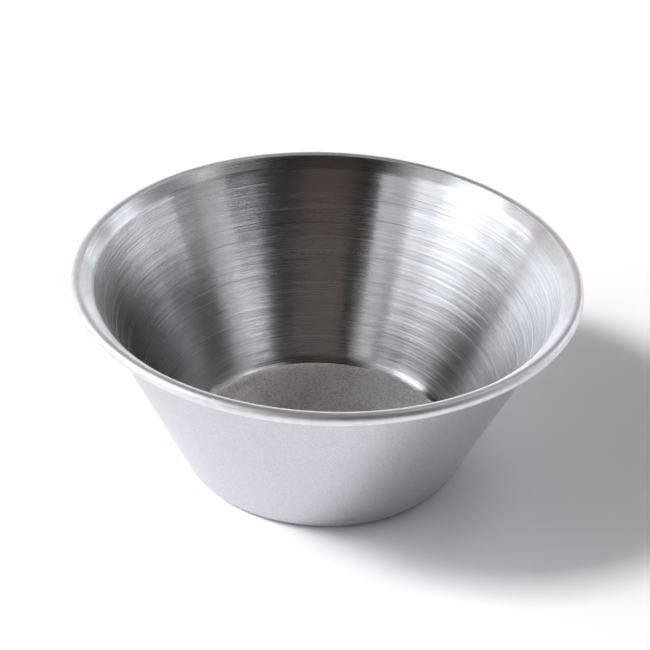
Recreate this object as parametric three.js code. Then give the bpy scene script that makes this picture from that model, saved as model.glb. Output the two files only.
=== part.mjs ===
// A stainless steel sauce cup: one disc of thin sheet drawn into a flat base, a flared wall and a rolled rim.
// Millimetres, +Z up, origin at the middle of the underside of the base.
import * as THREE from 'three';

// Driving dimensions of the cup
const RIM_DIAMETER = 73;          // over the outside of the rolled rim
const HEIGHT = 31;                // from the underside of the base to the top of the rim
const BASE_FLAT_DIAMETER = 39;    // flat underside that the cup stands on
const SHEET = 0.5;                // thickness of the steel sheet
const CORNER_RADIUS = 2;          // bend from the base into the wall, on its outside face
const INNER_CORNER_RADIUS = 2.5;  // the same bend on its inside face, where the sheet is a little thicker
const FLARE_RADIUS = 2.2;         // opening bend at the top of the wall, on its inside face
const FLANGE_SLOPE = 44;          // degrees above level of the straight flange between the flare and the curl
const FLANGE_LENGTH = 1.6;        // width of that flange, along its slope
const CURL_RADIUS = 0.9;          // rolled rim, on its outside face
const CURL_GAP = 0.4;             // slot left open between the edge of the curl and the flange

// Fineness of the faceted surface
const RING_STEPS = 72;
const ARC_STEP = 18;              // degrees of bend for each facet of an arc

// Finish of the sheet
const STEEL = { color: 0xbdbab6, metalness: 1, roughness: 0.35 };

const { degToRad, radToDeg } = THREE.MathUtils;

// Unit vector in the plane of the profile: x is the distance from the axis, y is the height.
function heading(degrees) {
  return new THREE.Vector2(Math.cos(degToRad(degrees)), Math.sin(degToRad(degrees)));
}

// Points of an arc from one heading seen from its centre to another.
function arc(centre, radius, from, to) {
  const steps = Math.max(2, Math.ceil(Math.abs(to - from) / ARC_STEP));
  const points = [];
  for (let i = 0; i <= steps; i++) {
    const degrees = from + ((to - from) * i) / steps;
    points.push(heading(degrees).multiplyScalar(radius).add(centre));
  }
  return points;
}

// Bends of the sheet, with their centres. The flange touches the flare and the curl.
function bends() {
  const corner = new THREE.Vector2(BASE_FLAT_DIAMETER / 2, CORNER_RADIUS);
  const curl = new THREE.Vector2(RIM_DIAMETER / 2 - CURL_RADIUS, HEIGHT - CURL_RADIUS);
  const meet = FLANGE_SLOPE + 90;
  const flare = heading(meet).multiplyScalar(CURL_RADIUS - FLARE_RADIUS).add(curl);
  flare.add(heading(meet + 90).multiplyScalar(FLANGE_LENGTH));

  // The straight wall touches the corner on one side and the flare on the other.
  const rise = flare.clone().sub(corner);
  const across = FLARE_RADIUS + CORNER_RADIUS - SHEET;
  const wallSlope = radToDeg(Math.atan2(rise.y, rise.x) + Math.asin(across / rise.length()));

  // The inside face of the corner touches the floor and the wall, so its centre lies on their bisector.
  const ease = INNER_CORNER_RADIUS + SHEET - CORNER_RADIUS;
  const inside = new THREE.Vector2(-Math.tan(degToRad(wallSlope / 2)), 1).multiplyScalar(ease).add(corner);

  // The curl stops where its edge comes within the gap of the flange's outside face.
  const room = CURL_RADIUS - SHEET - CURL_GAP;
  const curlEnd = meet - 360 + radToDeg(Math.acos(room / CURL_RADIUS));

  return { corner, inside, flare, curl, meet, wallIn: wallSlope + 90, wallOut: wallSlope - 90, curlEnd };
}

// One face of flare, flange and curl, from the wall to the curl's edge. Depth 0 is the sheet's inside face.
// The curl is drawn in three stretches, so that it has points exactly at its top and at its widest.
function rolledFace({ flare, curl, meet, wallIn, curlEnd }, depth) {
  return [
    ...arc(flare, FLARE_RADIUS - depth, wallIn, meet),
    ...arc(curl, CURL_RADIUS - depth, meet, 90),
    ...arc(curl, CURL_RADIUS - depth, 90, 0).slice(1),
    ...arc(curl, CURL_RADIUS - depth, 0, curlEnd).slice(1),
  ];
}

// Closed section of the sheet: out along its outside face, round the curl's edge, back along its inside face.
function sheetProfile() {
  const sheet = bends();
  return [
    new THREE.Vector2(0, 0),
    ...arc(sheet.corner, CORNER_RADIUS, -90, sheet.wallOut),
    ...rolledFace(sheet, SHEET),
    ...rolledFace(sheet, 0).reverse(),
    ...arc(sheet.inside, INNER_CORNER_RADIUS, sheet.wallOut, -90),
    new THREE.Vector2(0, SHEET),
  ];
}

function makeCup() {
  const geometry = new THREE.LatheGeometry(sheetProfile(), RING_STEPS);
  geometry.rotateX(Math.PI / 2);
  const mesh = new THREE.Mesh(geometry, new THREE.MeshStandardMaterial(STEEL));
  mesh.name = 'cup';
  return mesh;
}

const sauceCup = new THREE.Group();
sauceCup.add(makeCup());

export default sauceCup;
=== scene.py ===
# Looks of a stainless steel sauce cup: brushed inside wall, satin floor and outside, soft rolled rim.
import math

import bmesh
import bpy
from mathutils import Matrix, Vector


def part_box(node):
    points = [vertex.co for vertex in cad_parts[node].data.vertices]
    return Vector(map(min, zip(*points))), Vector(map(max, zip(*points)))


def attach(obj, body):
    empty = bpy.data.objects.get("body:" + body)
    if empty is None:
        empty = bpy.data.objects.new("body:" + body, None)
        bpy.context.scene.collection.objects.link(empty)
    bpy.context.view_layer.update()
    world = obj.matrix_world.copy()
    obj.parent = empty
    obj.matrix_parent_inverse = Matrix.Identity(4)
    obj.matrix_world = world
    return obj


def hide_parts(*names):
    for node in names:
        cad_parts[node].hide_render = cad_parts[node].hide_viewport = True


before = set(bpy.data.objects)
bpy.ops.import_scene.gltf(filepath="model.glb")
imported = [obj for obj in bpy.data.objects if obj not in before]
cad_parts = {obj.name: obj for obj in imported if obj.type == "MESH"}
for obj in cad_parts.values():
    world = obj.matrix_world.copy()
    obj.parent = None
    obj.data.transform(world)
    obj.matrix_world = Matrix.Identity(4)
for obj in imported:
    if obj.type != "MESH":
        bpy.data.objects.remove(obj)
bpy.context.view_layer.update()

MM = 0.001

# Sizes of the cup, in metres. The rim's radius and the height come from the frame.
CUP_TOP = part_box("cup")[1]
RIM_RADIUS = CUP_TOP.x
HEIGHT = CUP_TOP.z
BASE_FLAT_RADIUS = 19.5 * MM     # flat underside that the cup stands on
SHEET = 0.5 * MM                 # thickness of the steel sheet
CORNER_RADIUS = 2.0 * MM         # bend from the base into the wall, on its outside face
INNER_CORNER_RADIUS = 2.5 * MM   # the same bend on its inside face
FLARE_RADIUS = 2.2 * MM          # opening bend at the top of the wall, on its inside face
FLANGE_SLOPE = 44                # degrees above level of the flange between the flare and the curl
FLANGE_LENGTH = 1.6 * MM         # width of that flange, along its slope
CURL_RADIUS = 0.9 * MM           # rolled rim, on its outside face
CURL_GAP = 0.4 * MM              # slot left open between the edge of the curl and the flange

# Fineness of the visual mesh
RING_STEPS = 288
ARC_STEP = 5                     # degrees of bend for each step of an arc
WALL_STEPS = 48
DISC_STEPS = 16

# Camera, fitted to the outline of the cup in the 650 x 650 frame
IMAGE_SIDE = 650
FOCAL_PIXELS = 1747
CAMERA_DISTANCE = 256.4 * MM
CAMERA_ELEVATION = 33.4
CAMERA_ROLL = 2.22
CAMERA_PIVOT = Vector((0, 0, 18.6 * MM))
CAMERA_AIM = Vector((-0.14 * MM, 0, 21.12 * MM))
CAMERA_CLIP_START = 10 * MM
SENSOR = 36

# Zones of the sheet, which have different finishes
OUTSIDE, RIM, FLANGE, WALL, CORNER, FLOOR = range(6)

# Colours of the steel: its plain grey; a darker outside, whose darkness is painted shade; a paler rim, whose
# paleness is a painted sheen; and a near-white, slightly browner floor, whose paleness is painted light
STEEL_COLOUR = (0.735, 0.74, 0.745)
OUTSIDE_SHADED_COLOUR = (0.62, 0.62, 0.655)
RIM_SHEEN_COLOUR = (0.82, 0.82, 0.835)
FLOOR_LIT_COLOUR = (0.98, 0.945, 0.91)

# Surface marks. Most values of a noise lie in its usual range, and only the highest ones make a scratch.
NOISE_RANGE = (0.3, 0.7)
SCRATCH_RANGE = (0.68, 0.78)
NOISE_DETAIL = 2.0
UP = (0, 0, 1)
QUARTER_TURN = 0.25              # turns the stretch of reflections from round the cup to up and down it

# Studio: cards stand on a dome round the cup, placed in degrees. Azimuth 0 is on the camera's side,
# and it grows to the camera's right. Where no card stands, the white world shows.
DOME_RADIUS = 3.0
CARD_STEP = 5
BLACK = (0, 0, 0)
COOL = (0.97, 0.985, 1.05)
PINK = (1.04, 0.98, 1.0)
WARM = (1.2, 0.95, 0.85)
BROWN = (1.35, 0.93, 0.75)
CARDS = [
    # name, azimuths, elevations, level, tint
    ("key", (-95, -70), (18, 30), 3.2, COOL),
    ("key_left", (-105, -95), (18, 30), 4.8, COOL),
    ("key_high", (-100, -65), (30, 45), 5, COOL),
    ("key_soft", (-70, -45), (18, 30), 2.2, COOL),
    ("key_soft_high", (-65, -45), (30, 45), 2, COOL),
    ("key_edge", (-115, -105), (10, 30), 3, COOL),
    ("left_side", (-105, -90), (8, 18), 1.6, COOL),
    ("left_top", (-90, -60), (60, 75), 0.7, PINK),
    ("back_low", (165, 195), (0, 12), 2.6, COOL),
    ("back_mid", (160, 225), (30, 45), 0.65, WARM),
    ("right_strip", (85, 150), (8, 18), 2.2, COOL),
    ("right_patch", (110, 130), (18, 30), 2, COOL),
    ("right_patch_high", (110, 130), (30, 45), 1, COOL),
    ("right_grey", (55, 75), (8, 30), 0.55, PINK),
    ("right_upper", (75, 130), (45, 60), 0.7, COOL),
    ("right_top", (100, 135), (60, 75), 2.8, PINK),
    ("room", (-15, 15), (0, 60), 0.035, BROWN),
    ("flag_camera_left", (-25, -15), (0, 60), 0, BLACK),
    ("flag_camera_right", (15, 55), (0, 60), 0, BLACK),
    ("flag_front_low", (-60, -25), (0, 8), 0, BLACK),
    ("flag_left_low", (-135, -100), (0, 8), 0, BLACK),
    ("flag_left", (-45, -25), (30, 60), 0, BLACK),
    ("flag_left_mid", (-125, -100), (30, 45), 0, BLACK),
    ("flag_left_high", (-125, -50), (45, 60), 0, BLACK),
    ("flag_right_low", (55, 120), (0, 8), 0.1, COOL),
    ("flag_right_front", (55, 75), (30, 60), 0, BLACK),
    ("flag_right_near", (75, 110), (18, 45), 0.015, COOL),
    ("flag_right_far", (130, 160), (18, 60), 0, BLACK),
    ("flag_back_left", (225, 240), (30, 45), 0, BLACK),
    ("flag_back_top", (160, 240), (45, 60), 0, BLACK),
    ("flag_top_front", (-60, 100), (60, 75), 0.03, WARM),
    ("flag_top_back", (135, 270), (60, 75), 0, BLACK),
    ("flag_zenith", (-180, 180), (75, 90), 0.05, WARM),
]

# Lamp for the white floor, from the left. Metal doesn't mirror it: it mirrors the cards.
LAMP_AZIMUTH = -80
LAMP_ELEVATION = 48
LAMP_DISTANCE = 2.5
LAMP_SIZE = 0.5
LAMP_WATTS = 49

# White paper floor, and the white world beyond it
PAPER_COLOUR = (0.95, 0.95, 0.95)
PAPER_ROUGHNESS = 0.9
PAPER_REACH = 5.0
WORLD_COLOUR = (0.985, 0.985, 1.03)


def heading(degrees):
    """Unit vector in the plane of the profile: distance from the axis, height."""
    return Vector((math.cos(math.radians(degrees)), math.sin(math.radians(degrees))))


def arc(centre, radius, start, end):
    """Points of an arc from one heading, seen from its centre, to another."""
    steps = max(2, math.ceil(abs(end - start) / ARC_STEP))
    return [centre + heading(start + (end - start) * i / steps) * radius for i in range(steps + 1)]


def line(start, end, steps):
    """Points of a straight stretch, without its two ends."""
    return [start.lerp(end, i / steps) for i in range(1, steps)]


def sheet_profile():
    """Closed section of the sheet as (point, zone of the stretch that follows), from axis to axis."""
    corner = Vector((BASE_FLAT_RADIUS, CORNER_RADIUS))
    curl = Vector((RIM_RADIUS - CURL_RADIUS, HEIGHT - CURL_RADIUS))
    meet = FLANGE_SLOPE + 90
    flare = curl + heading(meet) * (CURL_RADIUS - FLARE_RADIUS) + heading(meet + 90) * FLANGE_LENGTH

    # The straight wall touches the corner on one side and the flare on the other.
    rise = flare - corner
    across = FLARE_RADIUS + CORNER_RADIUS - SHEET
    wall_slope = math.degrees(math.atan2(rise.y, rise.x) + math.asin(across / rise.length))
    wall_in = wall_slope + 90
    wall_out = wall_slope - 90

    # The inside face of the corner touches the floor and the wall, so its centre lies on their bisector.
    ease = INNER_CORNER_RADIUS - CORNER_RADIUS + SHEET
    inside = corner + Vector((-math.tan(math.radians(wall_slope / 2)), 1)) * ease

    # The curl stops where its edge comes within the gap of the flange's outside face.
    room = CURL_RADIUS - SHEET - CURL_GAP
    curl_end = meet - 360 + math.degrees(math.acos(room / CURL_RADIUS))

    def flared_face(depth):
        return arc(flare, FLARE_RADIUS - depth, wall_in, meet)

    def rolled_face(depth):
        radius = CURL_RADIUS - depth
        return arc(curl, radius, meet, 90) + arc(curl, radius, 90, 0)[1:] + arc(curl, radius, 0, curl_end)[1:]

    under = Vector((0, 0))
    outer_corner = arc(corner, CORNER_RADIUS, -90, wall_out)
    hollow = flared_face(SHEET) + rolled_face(SHEET)
    roll = rolled_face(0)[::-1]
    flared = flared_face(0)[::-1]
    inner_corner = arc(inside, INNER_CORNER_RADIUS, wall_out, -90)
    floor = Vector((0, SHEET))

    # The floor's finish reaches over the lower half of the inside bend.
    half = len(inner_corner) // 2
    stretches = [
        (OUTSIDE, [under] + line(under, outer_corner[0], DISC_STEPS) + outer_corner),
        (OUTSIDE, line(outer_corner[-1], hollow[0], WALL_STEPS)),
        (RIM, hollow + roll[:-1]),
        (FLANGE, roll[-1:] + flared[:-1]),
        (WALL, flared[-1:] + line(flared[-1], inner_corner[0], WALL_STEPS)),
        (CORNER, inner_corner[:-half]),
        (FLOOR, inner_corner[-half:] + line(inner_corner[-1], floor, DISC_STEPS) + [floor]),
    ]
    return [(point, zone) for zone, points in stretches for point in points]


def revolve(name, profile):
    """Closed mesh of a profile turned about Z, with one material index for each stretch."""
    bm = bmesh.new()
    turns = [2 * math.pi * i / RING_STEPS for i in range(RING_STEPS)]
    rings = []
    for (radius, height), _ in profile:
        if radius == 0:
            rings.append([bm.verts.new((0, 0, height))] * RING_STEPS)
        else:
            rings.append([bm.verts.new((radius * math.cos(t), radius * math.sin(t), height)) for t in turns])
    for (lower, upper), (_, zone) in zip(zip(rings, rings[1:]), profile):
        for i in range(RING_STEPS):
            j = (i + 1) % RING_STEPS
            # At the axis two of the corners are the same, so the face is a triangle.
            corners = dict.fromkeys([lower[i], lower[j], upper[j], upper[i]])
            face = bm.faces.new(corners)
            face.material_index = zone
            face.smooth = True
    mesh = bpy.data.meshes.new(name)
    bm.to_mesh(mesh)
    bm.free()
    piece = bpy.data.objects.new(name, mesh)
    bpy.context.scene.collection.objects.link(piece)
    return piece


class Finish:
    """A bare steel material, with the nodes that its surface marks are made of."""

    def __init__(self, name, colour, anisotropy):
        self.material = bpy.data.materials.new(name)
        self.material.use_nodes = True
        self.tree = self.material.node_tree
        self.shader = self.tree.nodes["Principled BSDF"]
        self.colour = colour
        self.set("Metallic", 1)
        self.set("Anisotropic", anisotropy)
        self.set("Anisotropic Rotation", QUARTER_TURN)
        tangent = self.add("ShaderNodeTangent", direction_type="RADIAL", axis="Z")
        self.link(tangent.outputs["Tangent"], self.shader.inputs["Tangent"])
        self.place = self.add("ShaderNodeTexCoord").outputs["Object"]
        split = self.add("ShaderNodeSeparateXYZ")
        self.link(self.place, split.inputs[0])
        flat = self.add("ShaderNodeCombineXYZ")
        self.link(split.outputs["X"], flat.inputs["X"])
        self.link(split.outputs["Y"], flat.inputs["Y"])
        self.height = split.outputs["Z"]
        self.radius = self.vector("LENGTH", flat.outputs[0], output="Value")
        self.outward = self.vector("NORMALIZE", flat.outputs[0])

    def set(self, socket, value):
        self.shader.inputs[socket].default_value = value

    def add(self, kind, **settings):
        node = self.tree.nodes.new(kind)
        for key, value in settings.items():
            setattr(node, key, value)
        return node

    def link(self, source, socket):
        """Joins a socket to another node, or sets it if the source is a plain value."""
        if isinstance(source, bpy.types.NodeSocket):
            self.tree.links.new(source, socket)
        else:
            socket.default_value = source

    def vector(self, operation, a, b=None, scale=None, output="Vector"):
        node = self.add("ShaderNodeVectorMath", operation=operation)
        self.link(a, node.inputs[0])
        if b is not None:
            self.link(b, node.inputs[1])
        if scale is not None:
            self.link(scale, node.inputs["Scale"])
        return node.outputs[output]

    def math(self, operation, a, b=0.0, c=0.0):
        node = self.add("ShaderNodeMath", operation=operation)
        for value, socket in zip((a, b, c), node.inputs):
            self.link(value, socket)
        return node.outputs[0]

    def spread(self, value, low, high, within=NOISE_RANGE):
        """Maps a noise from the range within which it is read to a range of its own, with smooth ends."""
        node = self.add("ShaderNodeMapRange", interpolation_type="SMOOTHSTEP")
        self.link(value, node.inputs["Value"])
        for socket, number in zip(("From Min", "From Max", "To Min", "To Max"), (*within, low, high)):
            node.inputs[socket].default_value = number
        return node.outputs["Result"]

    def noise(self, where, scale, detail):
        node = self.add("ShaderNodeTexNoise")
        self.link(where, node.inputs["Vector"])
        node.inputs["Scale"].default_value = scale
        node.inputs["Detail"].default_value = detail
        return node.outputs["Fac"]

    def turning_marks(self, across, width, length, detail=NOISE_DETAIL, shift=0.0):
        """Noise drawn out along the turning direction: its marks are this wide, and this long in radians."""
        lift = self.add("ShaderNodeCombineXYZ")
        self.link(self.math("MULTIPLY_ADD", across, 1 / width, shift), lift.inputs["Z"])
        where = self.vector("ADD", self.vector("SCALE", self.outward, scale=1 / length), lift.outputs[0])
        return self.noise(where, 1, detail)

    def grain(self, size):
        """Even noise with grains of this size."""
        return self.noise(self.place, 1 / size, NOISE_DETAIL)

    def shade(self, factor):
        """Base colour of the steel, made lighter and darker by a factor around 1."""
        colour = self.vector("SCALE", self.colour, scale=factor)
        self.link(colour, self.shader.inputs["Base Color"])

    def rough(self, value):
        self.link(value, self.shader.inputs["Roughness"])

    def normal(self):
        return self.add("ShaderNodeNewGeometry").outputs["Normal"]

    def lean(self, normal, way, value, amount):
        """Leans the normal one way and the other, by a noise value around a half."""
        turn = self.math("MULTIPLY_ADD", value, amount, -amount / 2)
        return self.vector("NORMALIZE", self.vector("ADD", normal, self.vector("SCALE", way, scale=turn)))

    def bump(self, height, distance, strength):
        node = self.add("ShaderNodeBump")
        node.inputs["Strength"].default_value = strength
        node.inputs["Distance"].default_value = distance
        self.link(height, node.inputs["Height"])
        self.link(node.outputs["Normal"], self.shader.inputs["Normal"])


def brushed_wall():
    """Inside wall: turning marks all round, which fray the edges of reflections, and sparse scratches."""
    f = Finish("steel_wall", STEEL_COLOUR, anisotropy=1.0)
    grooves = f.turning_marks(f.height, width=0.02 * MM, length=0.6, detail=0, shift=7)
    fine = f.turning_marks(f.height, width=0.12 * MM, length=1.2, detail=3)
    coarse = f.turning_marks(f.height, width=0.7 * MM, length=1.0, shift=17)
    sparse = f.turning_marks(f.height, width=0.22 * MM, length=1.0, detail=0, shift=41)
    scratch_roughness = 0.15
    scratches = f.spread(sparse, low=0, high=1, within=SCRATCH_RANGE)
    f.rough(f.math("MULTIPLY_ADD", scratches, scratch_roughness, f.spread(fine, low=0.2, high=0.26)))
    f.shade(f.spread(coarse, low=0.94, high=1.04))
    sideways = f.vector("CROSS_PRODUCT", UP, f.outward)
    grooved = f.lean(f.normal(), UP, grooves, amount=0.55)
    frayed = f.lean(grooved, UP, fine, amount=0.05)
    f.link(f.lean(frayed, sideways, fine, amount=0.05), f.shader.inputs["Normal"])
    return f.material


def smooth_turned(name):
    """Flange above the wall and bend below it: the same turned finish, with only faint marks."""
    f = Finish(name, STEEL_COLOUR, anisotropy=1.0)
    marks = f.turning_marks(f.radius, width=0.1 * MM, length=1.2)
    f.rough(f.spread(marks, low=0.25, high=0.31))
    f.shade(f.spread(f.grain(1.5 * MM), low=0.96, high=1.03))
    f.bump(marks, distance=0.01 * MM, strength=0.1)
    return f.material


def satin_floor():
    """Inside floor: a near-white, slightly browner colour whose paleness is painted light, fine even grain,
    faint blotches and faint turning rings.
    """
    f = Finish("steel_floor", FLOOR_LIT_COLOUR, anisotropy=0)
    grain = f.grain(0.35 * MM)
    rings = f.turning_marks(f.radius, width=0.4 * MM, length=0.5)
    blotches = f.spread(f.grain(5 * MM), low=0.9, high=1.08)
    f.rough(f.spread(rings, low=0.56, high=0.66))
    f.shade(f.math("MULTIPLY", blotches, f.spread(grain, low=0.82, high=1.14)))
    f.bump(grain, distance=0.03 * MM, strength=0.35)
    return f.material


def soft_rim():
    """Rolled rim: soft, with a paler colour that paints its sheen, and faint turning marks."""
    f = Finish("steel_rim", RIM_SHEEN_COLOUR, anisotropy=0)
    marks = f.turning_marks(f.radius, width=0.15 * MM, length=0.3)
    f.rough(f.spread(marks, low=0.47, high=0.54))
    f.shade(f.spread(f.grain(1.5 * MM), low=0.95, high=1.04))
    f.bump(marks, distance=0.01 * MM, strength=0.15)
    return f.material


def satin_outside():
    """Outside and underside: soft satin with fine grain and short marks round the cup."""
    # The outside's darker colour is painted shade.
    f = Finish("steel_outside", OUTSIDE_SHADED_COLOUR, anisotropy=0.3)
    marks = f.turning_marks(f.height, width=0.18 * MM, length=0.05)
    f.rough(f.spread(marks, low=0.32, high=0.4))
    f.shade(f.spread(f.grain(0.25 * MM), low=0.91, high=1.07))
    f.bump(marks, distance=0.01 * MM, strength=0.2)
    return f.material


def make_cup():
    """The sheet with its finishes, in the order of their zones."""
    cup = revolve("cup_sheet", sheet_profile())
    finishes = [
        satin_outside(),
        soft_rim(),
        smooth_turned("steel_flange"),
        brushed_wall(),
        smooth_turned("steel_corner"),
        satin_floor(),
    ]
    for material in finishes:
        cup.data.materials.append(material)
    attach(cup, "root")
    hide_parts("cup")


def make_camera():
    """Camera at the photograph's angle: it stands off the pivot, looks at the aim and is rolled a little."""
    data = bpy.data.cameras.new("camera")
    data.sensor_width = SENSOR
    data.lens = FOCAL_PIXELS / IMAGE_SIDE * SENSOR
    data.clip_start = CAMERA_CLIP_START
    camera = bpy.data.objects.new("camera", data)
    tilt = math.radians(CAMERA_ELEVATION)
    eye = CAMERA_PIVOT + Vector((0, -math.cos(tilt), math.sin(tilt))) * CAMERA_DISTANCE
    look = (CAMERA_AIM - eye).to_track_quat("-Z", "Y").to_matrix().to_4x4()
    roll = Matrix.Rotation(math.radians(CAMERA_ROLL), 4, "Z")
    camera.matrix_world = Matrix.Translation(eye) @ look @ roll
    bpy.context.scene.collection.objects.link(camera)
    bpy.context.scene.camera = camera


def make_floor():
    """White paper floor that the cup stands on."""
    reach = PAPER_REACH
    corners = [(-reach, -reach, 0), (reach, -reach, 0), (reach, reach, 0), (-reach, reach, 0)]
    mesh = bpy.data.meshes.new("studio_floor")
    mesh.from_pydata(corners, [], [(0, 1, 2, 3)])
    floor = bpy.data.objects.new("studio_floor", mesh)
    material = bpy.data.materials.new("white_paper")
    material.use_nodes = True
    shader = material.node_tree.nodes["Principled BSDF"]
    shader.inputs["Base Color"].default_value = (*PAPER_COLOUR, 1)
    shader.inputs["Roughness"].default_value = PAPER_ROUGHNESS
    shader.inputs["Specular IOR Level"].default_value = 0
    mesh.materials.append(material)
    bpy.context.scene.collection.objects.link(floor)


def direction(azimuth, elevation):
    """Unit vector to a place of the studio, from the cup."""
    turn = math.radians(azimuth)
    tilt = math.radians(elevation)
    return Vector((math.sin(turn) * math.cos(tilt), -math.cos(turn) * math.cos(tilt), math.sin(tilt)))


def card_material(name, level, tint):
    """Plain glow of a card, or black."""
    material = bpy.data.materials.new(name)
    material.use_nodes = True
    tree = material.node_tree
    tree.nodes.clear()
    glow = tree.nodes.new("ShaderNodeEmission")
    glow.inputs["Color"].default_value = (*tint, 1)
    glow.inputs["Strength"].default_value = level
    tree.links.new(glow.outputs[0], tree.nodes.new("ShaderNodeOutputMaterial").inputs["Surface"])
    return material


def make_card(name, azimuths, elevations, level, tint):
    """Glowing or dark card, a patch of the dome that only the metal and the floor see."""
    columns = math.ceil((azimuths[1] - azimuths[0]) / CARD_STEP)
    rows = math.ceil((elevations[1] - elevations[0]) / CARD_STEP)
    points = []
    for i in range(columns + 1):
        for j in range(rows + 1):
            azimuth = azimuths[0] + (azimuths[1] - azimuths[0]) * i / columns
            elevation = elevations[0] + (elevations[1] - elevations[0]) * j / rows
            points.append(direction(azimuth, elevation) * DOME_RADIUS)
    faces = []
    for i in range(columns):
        for j in range(rows):
            first = i * (rows + 1) + j
            faces.append((first, first + 1, first + rows + 2, first + rows + 1))
    mesh = bpy.data.meshes.new("card_" + name)
    mesh.from_pydata(points, [], faces)
    mesh.materials.append(card_material("card_" + name, level, tint))
    card = bpy.data.objects.new("card_" + name, mesh)
    card.visible_camera = False
    bpy.context.scene.collection.objects.link(card)


def make_lamp():
    """Soft lamp that lights the floor and casts the cup's shadow."""
    data = bpy.data.lights.new("floor_lamp", "AREA")
    data.size = LAMP_SIZE
    data.energy = LAMP_WATTS
    lamp = bpy.data.objects.new("floor_lamp", data)
    lamp.location = direction(LAMP_AZIMUTH, LAMP_ELEVATION) * LAMP_DISTANCE
    lamp.rotation_euler = (-lamp.location).to_track_quat("-Z", "Y").to_euler()
    lamp.visible_glossy = False
    bpy.context.scene.collection.objects.link(lamp)


def make_world():
    """Plain white world at a strength of 1."""
    world = bpy.data.worlds.new("studio")
    world.use_nodes = True
    background = world.node_tree.nodes["Background"]
    background.inputs["Color"].default_value = (*WORLD_COLOUR, 1)
    background.inputs["Strength"].default_value = 1
    bpy.context.scene.world = world


make_cup()
make_camera()
make_floor()
make_world()
make_lamp()
for card_facts in CARDS:
    make_card(*card_facts)
bpy.context.scene.view_settings.view_transform = "Standard"
